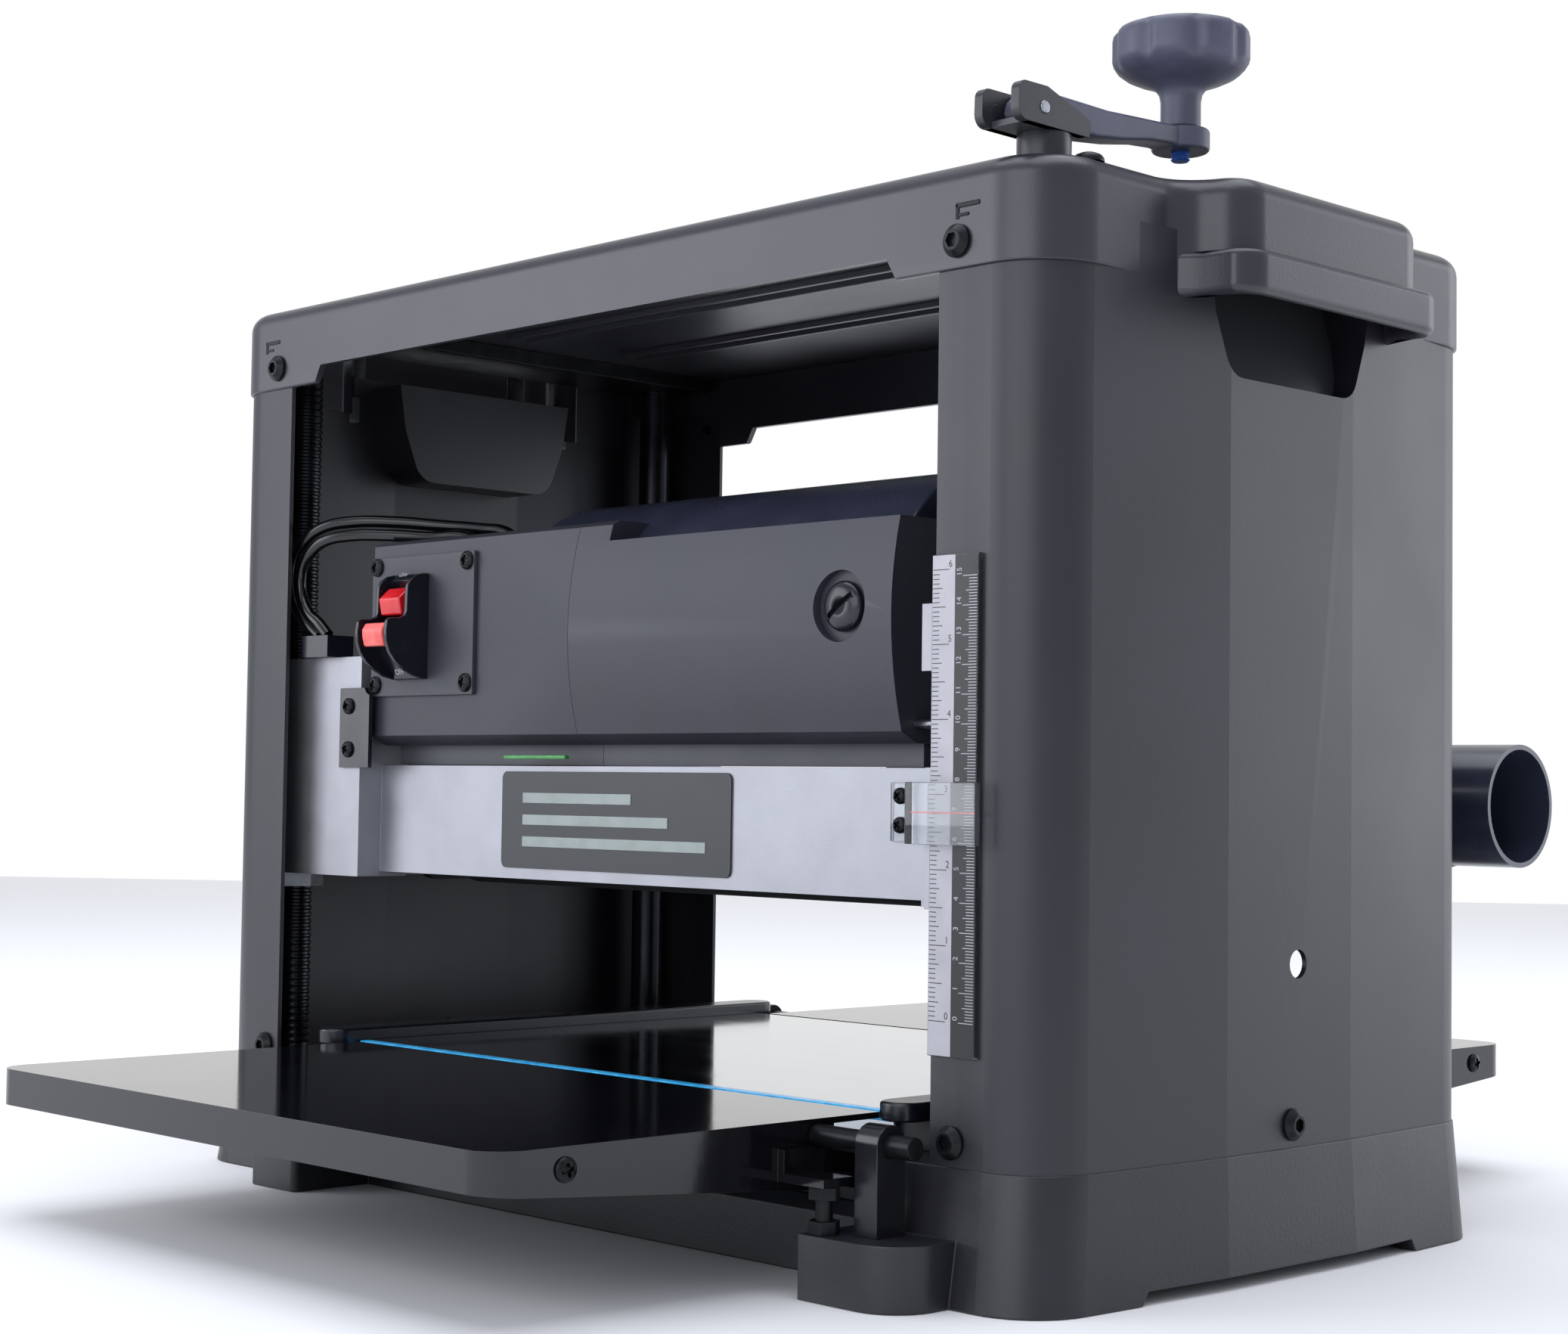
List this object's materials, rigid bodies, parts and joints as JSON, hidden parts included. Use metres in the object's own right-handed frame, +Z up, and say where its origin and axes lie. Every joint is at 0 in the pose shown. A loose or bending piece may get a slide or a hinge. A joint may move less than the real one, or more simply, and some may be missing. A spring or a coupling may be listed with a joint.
{
  "type": "thickness planer",
  "caption": "Benchtop thickness planer with a crank-raised motor carriage, folding feed tables and a side dust port.",
  "frame": {"origin": "centre of the cutterhead axis projected down to the bench, at the bottom of the base", "axes": "+X to the right seen from the infeed side, +Y the feed direction, +Z up from the bench"},
  "size_m": [0.55, 0.595, 0.4505],
  "materials": {
    "body_paint": "satin fine texture",
    "base_paint": "satin fine texture",
    "cover_plastic": "fine texture",
    "cast_alloy": "satin cast",
    "bed_steel": "polished",
    "table_enamel": "gloss",
    "black_plastic": "satin",
    "motor_plastic": "fine texture",
    "bright_steel": "ground",
    "dark_steel": "black oxide",
    "bronze": "machined",
    "clear_acrylic": "clear gloss",
    "red_plastic": "gloss",
    "key_plastic": "gloss",
    "lead_rubber": "gloss",
    "belt_rubber": "matte",
    "badge_grey": "satin",
    "copper_winding": "varnished",
    "crank_plastic": "satin"
  },
  "bodies": {
    "frame": {"base_casting": "base_paint", "bed_casting": "base_paint", "bed_plate": "bed_steel", "bed_rails": "black_plastic", "right_side_shell": "body_paint", "left_side_shell": "body_paint", "top_cover": "cover_plastic", "top_brackets": "dark_steel", "rear_guide_posts": "bright_steel", "screw_bushes": "bronze", "drive_chain": "dark_steel", "hinge_posts": "black_plastic", "hinge_rods": "bright_steel", "stop_bolts": "bright_steel", "scale_rule": "clear_acrylic", "frame_screws": "dark_steel"},
    "carriage": {"carriage_casting": "cast_alloy", "guide_bushes": "bronze", "lead_nuts": "bronze", "spindle_bearings": "bright_steel", "roller_bushes": "bronze", "gear_case": "black_plastic", "feed_chain": "dark_steel", "drive_belt": "belt_rubber", "motor_shroud_left": "motor_plastic", "motor_shroud_right": "motor_plastic", "motor_can": "black_plastic", "motor_field": "copper_winding", "motor_brushes": "dark_steel", "brush_cap": "black_plastic", "switch_plate": "motor_plastic", "switch_body": "black_plastic", "motor_bracket": "black_plastic", "carriage_screws": "dark_steel", "motor_leads": "lead_rubber", "lead_clamp": "black_plastic", "badge_plate": "badge_grey", "pointer": "clear_acrylic", "dust_hood": "black_plastic", "tie_rod": "bright_steel"},
    "cutterhead": {"cutterhead": "bright_steel", "cutter_inserts": "bright_steel", "head_pulley": "cast_alloy"},
    "front_roller": {"front_feed_roller": "belt_rubber"},
    "rear_roller": {"rear_feed_roller": "belt_rubber"},
    "armature": {"motor_armature": "copper_winding", "motor_fan": "dark_steel", "motor_pulley": "cast_alloy"},
    "right_screw": {"right_lead_screw": "bright_steel", "right_lift_sprocket": "dark_steel", "crank_hub": "crank_plastic"},
    "left_screw": {"left_lead_screw": "bright_steel", "left_lift_sprocket": "dark_steel"},
    "crank_arm": {"crank_arm": "crank_plastic"},
    "crank_knob": {"crank_knob": "crank_plastic"},
    "infeed_table": {"infeed_table": "table_enamel", "infeed_table_screws": "dark_steel"},
    "outfeed_table": {"outfeed_table": "table_enamel"},
    "switch_rocker": {"switch_rocker": "red_plastic"},
    "safety_key": {"safety_key": "key_plastic"}
  },
  "joints": [
    {"name": "carriage_lift", "type": "slide", "parent": "frame", "child": "carriage", "axis": [0, 0, 1], "range_m": [-0.066, 0.082]},
    {"name": "right_screw_turn", "type": "hinge", "parent": "frame", "child": "right_screw", "pos_m": [0.2225, -0.108, 0.2], "axis": [0, 0, 1], "range_deg": [-15100, 18700]},
    {"name": "left_screw_turn", "type": "hinge", "parent": "frame", "child": "left_screw", "pos_m": [-0.2225, -0.108, 0.2], "axis": [0, 0, 1], "range_deg": [-15100, 18700]},
    {"name": "crank_fold", "type": "hinge", "parent": "right_screw", "child": "crank_arm", "pos_m": [0.2225, -0.1195, 0.4025], "axis": [1, 0, 0], "range_deg": [0, 100]},
    {"name": "knob_spin", "type": "hinge", "parent": "crank_arm", "child": "crank_knob", "pos_m": [0.2225, -0.0315, 0.43], "axis": [0, 0, 1], "continuous": true},
    {"name": "cutterhead_spin", "type": "hinge", "parent": "carriage", "child": "cutterhead", "pos_m": [0, 0, 0.1519], "axis": [1, 0, 0], "continuous": true},
    {"name": "motor_spin", "type": "hinge", "parent": "carriage", "child": "armature", "pos_m": [0, -0.064, 0.237], "axis": [1, 0, 0], "continuous": true},
    {"name": "front_roller_spin", "type": "hinge", "parent": "carriage", "child": "front_roller", "pos_m": [0, -0.048, 0.1429], "axis": [1, 0, 0], "continuous": true},
    {"name": "rear_roller_spin", "type": "hinge", "parent": "carriage", "child": "rear_roller", "pos_m": [0, 0.048, 0.1429], "axis": [1, 0, 0], "continuous": true},
    {"name": "infeed_fold", "type": "hinge", "parent": "frame", "child": "infeed_table", "pos_m": [0, -0.148, 0.0523], "axis": [-1, 0, 0], "range_deg": [0, 90]},
    {"name": "outfeed_fold", "type": "hinge", "parent": "frame", "child": "outfeed_table", "pos_m": [0, 0.162, 0.0523], "axis": [1, 0, 0], "range_deg": [0, 90]},
    {"name": "switch_tilt", "type": "hinge", "parent": "carriage", "child": "switch_rocker", "pos_m": [-0.12, -0.127, 0.249], "axis": [1, 0, 0], "range_deg": [-12, 12]},
    {"name": "key_pull", "type": "slide", "parent": "carriage", "child": "safety_key", "axis": [0, -1, 0], "range_m": [0, 0.01]}
  ],
  "couplings": [
    {"joint": "right_screw_turn", "follows": "carriage_lift", "rad_per_m": 3957.9},
    {"joint": "left_screw_turn", "follows": "carriage_lift", "rad_per_m": 3957.9},
    {"joint": "motor_spin", "follows": "cutterhead_spin", "ratio": 1.5385},
    {"joint": "front_roller_spin", "follows": "cutterhead_spin", "ratio": 0.01},
    {"joint": "rear_roller_spin", "follows": "cutterhead_spin", "ratio": 0.01}
  ]
}
